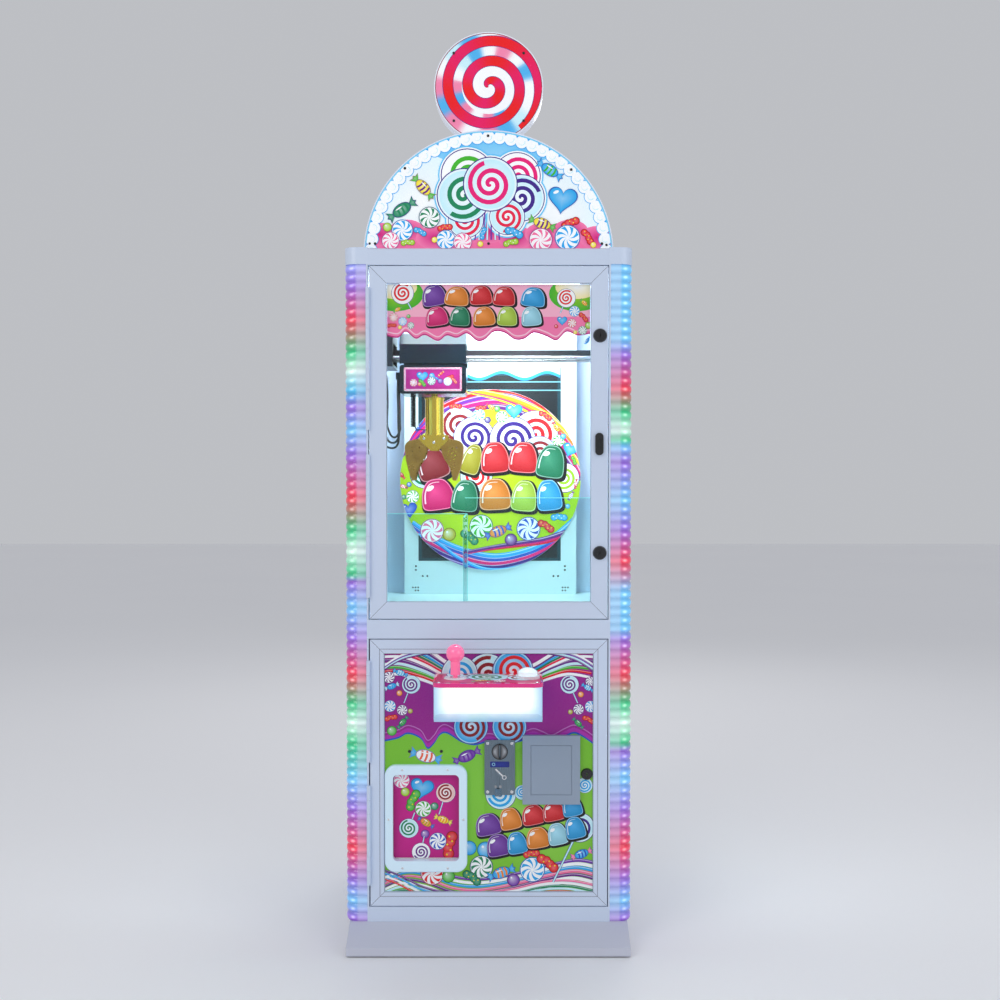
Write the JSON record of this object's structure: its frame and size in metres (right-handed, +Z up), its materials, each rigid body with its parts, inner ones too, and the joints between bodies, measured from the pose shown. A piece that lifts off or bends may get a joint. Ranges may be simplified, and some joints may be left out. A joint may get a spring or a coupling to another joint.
{
  "type": "claw crane machine",
  "caption": "Slim floor-standing claw crane cabinet with a glazed door, control box, prize door, X-Y gantry, two-scoop claw, ribbed lit corner covers and a round-over-arch lit topper.",
  "frame": {"origin": "on the floor, under the middle of the machine's outline", "axes": "+Z up, the player's side faces -Y, +X to the player's right"},
  "size_m": [0.634, 0.738, 2.03],
  "materials": {
    "body_steel": "satin",
    "plinth_steel": "satin",
    "dark_steel": "matt",
    "bright_steel": "brushed",
    "chrome": "polished",
    "rubber_feet": "matt",
    "clear_panel": "clear",
    "clear_acrylic": "clear",
    "lit_cover": "translucent, lit from behind",
    "led_board": "satin",
    "cap_plastic": "satin",
    "topper_case": "gloss",
    "topper_art": "printed, lit from behind",
    "interior_art": "printed",
    "interior_panel": "satin",
    "deck_print": "printed, clear coated",
    "door_print": "printed",
    "frosted_white": "translucent, lit from inside",
    "frosted_cyan": "translucent, lit from behind",
    "flap_print": "printed",
    "black_plastic": "satin",
    "coin_black": "satin",
    "stick_pink": "translucent, lit from inside",
    "button_white": "translucent",
    "grey_paint": "satin",
    "claw_brass": "polished",
    "cable_jacket": "satin",
    "label_plastic": "satin",
    "galvanised": "satin"
  },
  "bodies": {
    "cabinet": {"base_plinth": "plinth_steel", "levelling_feet": "rubber_feet", "front_frame": "body_steel", "side_panels": "body_steel", "side_windows": "clear_panel", "rear_panel": "body_steel", "power_inlet": "black_plastic", "top_panel": "body_steel", "column_caps": "cap_plastic", "led_covers": "lit_cover", "led_strips": "led_board", "playfield_deck": "interior_panel", "acrylic_walls": "clear_acrylic", "chute_duct": "galvanised", "back_wall": "interior_panel", "back_art_disc": "interior_art", "arch_case": "topper_case", "disc_case": "topper_case", "topper_faces": "topper_art", "hinge_leaves": "bright_steel", "cash_box": "galvanised", "electronics": "dark_steel", "gantry_rails": "bright_steel"},
    "power_rocker": {"power_switch": "black_plastic"},
    "upper_door": {"upper_door_frame": "body_steel", "upper_door_glass": "clear_panel", "upper_door_hinge": "bright_steel", "upper_door_locks": "black_plastic"},
    "upper_low_cam": {"lock_cam_low": "chrome"},
    "upper_high_cam": {"lock_cam_high": "chrome"},
    "lower_door": {"lower_door_frame": "body_steel", "lower_door_panel": "door_print", "lower_door_hinge": "bright_steel", "lower_door_lock": "chrome", "prize_frame": "frosted_cyan", "coin_plate": "coin_black", "bill_cover": "grey_paint", "control_housing": "frosted_white", "control_deck": "deck_print", "deck_fittings": "frosted_white"},
    "lower_cam": {"lock_cam_lower_door": "chrome"},
    "flap": {"prize_flap": "flap_print"},
    "return_lever": {"coin_lever": "chrome"},
    "gimbal": {"joystick_gimbal": "black_plastic"},
    "stick": {"joystick": "stick_pink"},
    "button": {"button_cap": "button_white"},
    "bridge": {"bridge_frame": "dark_steel"},
    "bridge_wheels_front": {"bridge_axle_front": "bright_steel"},
    "bridge_wheels_rear": {"bridge_axle_rear": "bright_steel"},
    "carriage": {"carriage_frame": "dark_steel", "carriage_cover": "black_plastic", "label_box": "label_plastic", "loop_cables": "cable_jacket"},
    "carriage_wheels_left": {"carriage_axle_left": "bright_steel"},
    "carriage_wheels_right": {"carriage_axle_right": "bright_steel"},
    "drum": {"hoist_drum": "bright_steel"},
    "claw": {"claw_head": "claw_brass", "claw_cord": "cable_jacket"},
    "left_scoop": {"jaw_left": "claw_brass"},
    "right_scoop": {"jaw_right": "claw_brass"}
  },
  "joints": [
    {"name": "upper_door_swing", "type": "hinge", "parent": "cabinet", "child": "upper_door", "pos_m": [-0.2648, -0.2417, 1.1], "axis": [0, 0, -1], "range_deg": [0, 110]},
    {"name": "upper_low_cam_turn", "type": "hinge", "parent": "upper_door", "child": "upper_low_cam", "pos_m": [0.245, -0.237, 0.8705], "axis": [0, -1, 0], "range_deg": [0, 90]},
    {"name": "upper_high_cam_turn", "type": "hinge", "parent": "upper_door", "child": "upper_high_cam", "pos_m": [0.245, -0.237, 1.348], "axis": [0, -1, 0], "range_deg": [0, 90]},
    {"name": "lower_door_swing", "type": "hinge", "parent": "cabinet", "child": "lower_door", "pos_m": [-0.2648, -0.2417, 0.38], "axis": [0, 0, -1], "range_deg": [0, 110]},
    {"name": "lower_cam_turn", "type": "hinge", "parent": "lower_door", "child": "lower_cam", "pos_m": [0.2175, -0.237, 0.38], "axis": [0, -1, 0], "range_deg": [0, 90]},
    {"name": "prize_flap_swing", "type": "hinge", "parent": "lower_door", "child": "flap", "pos_m": [-0.138, -0.2265, 0.391], "axis": [1, 0, 0], "range_deg": [0, 55]},
    {"name": "coin_return_press", "type": "hinge", "parent": "lower_door", "child": "return_lever", "pos_m": [0.03475, -0.239, 0.374], "axis": [0, -1, 0], "range_deg": [0, 25], "stiffness_Nm_per_rad": 0.05, "springref_deg": -17.19},
    {"name": "stick_fore_aft", "type": "hinge", "parent": "lower_door", "child": "gimbal", "pos_m": [-0.071, -0.302, 0.585], "axis": [1, 0, 0], "range_deg": [-10, 10], "stiffness_Nm_per_rad": 1.5},
    {"name": "stick_left_right", "type": "hinge", "parent": "gimbal", "child": "stick", "pos_m": [-0.071, -0.302, 0.585], "axis": [0, 1, 0], "range_deg": [-10, 10], "stiffness_Nm_per_rad": 1.5},
    {"name": "button_press", "type": "slide", "parent": "lower_door", "child": "button", "axis": [0, 0, -1], "range_m": [0, 0.0035], "stiffness_N_per_m": 400, "springref_m": -0.003},
    {"name": "power_rocker_tip", "type": "hinge", "parent": "cabinet", "child": "power_rocker", "pos_m": [0.17, 0.355, 0.195], "axis": [1, 0, 0], "range_deg": [0, 12]},
    {"name": "bridge_travel", "type": "slide", "parent": "cabinet", "child": "bridge", "axis": [0, 1, 0], "range_m": [0, 0.26]},
    {"name": "bridge_wheels_front_spin", "type": "hinge", "parent": "bridge", "child": "bridge_wheels_front", "pos_m": [0, -0.092, 1.312], "axis": [1, 0, 0], "range_deg": [-1250, 5]},
    {"name": "bridge_wheels_rear_spin", "type": "hinge", "parent": "bridge", "child": "bridge_wheels_rear", "pos_m": [0, -0.012, 1.312], "axis": [1, 0, 0], "range_deg": [-1250, 5]},
    {"name": "carriage_travel", "type": "slide", "parent": "bridge", "child": "carriage", "axis": [1, 0, 0], "range_m": [0, 0.25], "deforming": ["loop_cables"]},
    {"name": "carriage_wheels_left_spin", "type": "hinge", "parent": "carriage", "child": "carriage_wheels_left", "pos_m": [-0.178, -0.052, 1.339], "axis": [0, 1, 0], "range_deg": [-5, 1600]},
    {"name": "carriage_wheels_right_spin", "type": "hinge", "parent": "carriage", "child": "carriage_wheels_right", "pos_m": [-0.078, -0.052, 1.339], "axis": [0, 1, 0], "range_deg": [-5, 1600]},
    {"name": "claw_drop", "type": "slide", "parent": "carriage", "child": "claw", "axis": [0, 0, -1], "range_m": [0, 0.27], "deforming": ["claw_cord"]},
    {"name": "hoist_drum_spin", "type": "hinge", "parent": "carriage", "child": "drum", "pos_m": [-0.128, -0.052, 1.262], "axis": [0, 1, 0], "range_deg": [-5, 1110]},
    {"name": "right_scoop_swing", "type": "hinge", "parent": "claw", "child": "right_scoop", "pos_m": [-0.104, -0.052, 1.123], "axis": [0, -1, 0], "range_deg": [-25, 10], "stiffness_Nm_per_rad": 3},
    {"name": "left_scoop_swing", "type": "hinge", "parent": "claw", "child": "left_scoop", "pos_m": [-0.152, -0.052, 1.123], "axis": [0, 1, 0], "range_deg": [-25, 10], "stiffness_Nm_per_rad": 3}
  ],
  "couplings": [
    {"joint": "bridge_wheels_front_spin", "follows": "bridge_travel", "rad_per_m": -83.333},
    {"joint": "bridge_wheels_rear_spin", "follows": "bridge_travel", "rad_per_m": -83.333},
    {"joint": "carriage_wheels_left_spin", "follows": "carriage_travel", "rad_per_m": 111.11},
    {"joint": "carriage_wheels_right_spin", "follows": "carriage_travel", "rad_per_m": 111.11},
    {"joint": "hoist_drum_spin", "follows": "claw_drop", "rad_per_m": 71.429},
    {"joint": "left_scoop_swing", "follows": "right_scoop_swing", "ratio": 1}
  ]
}
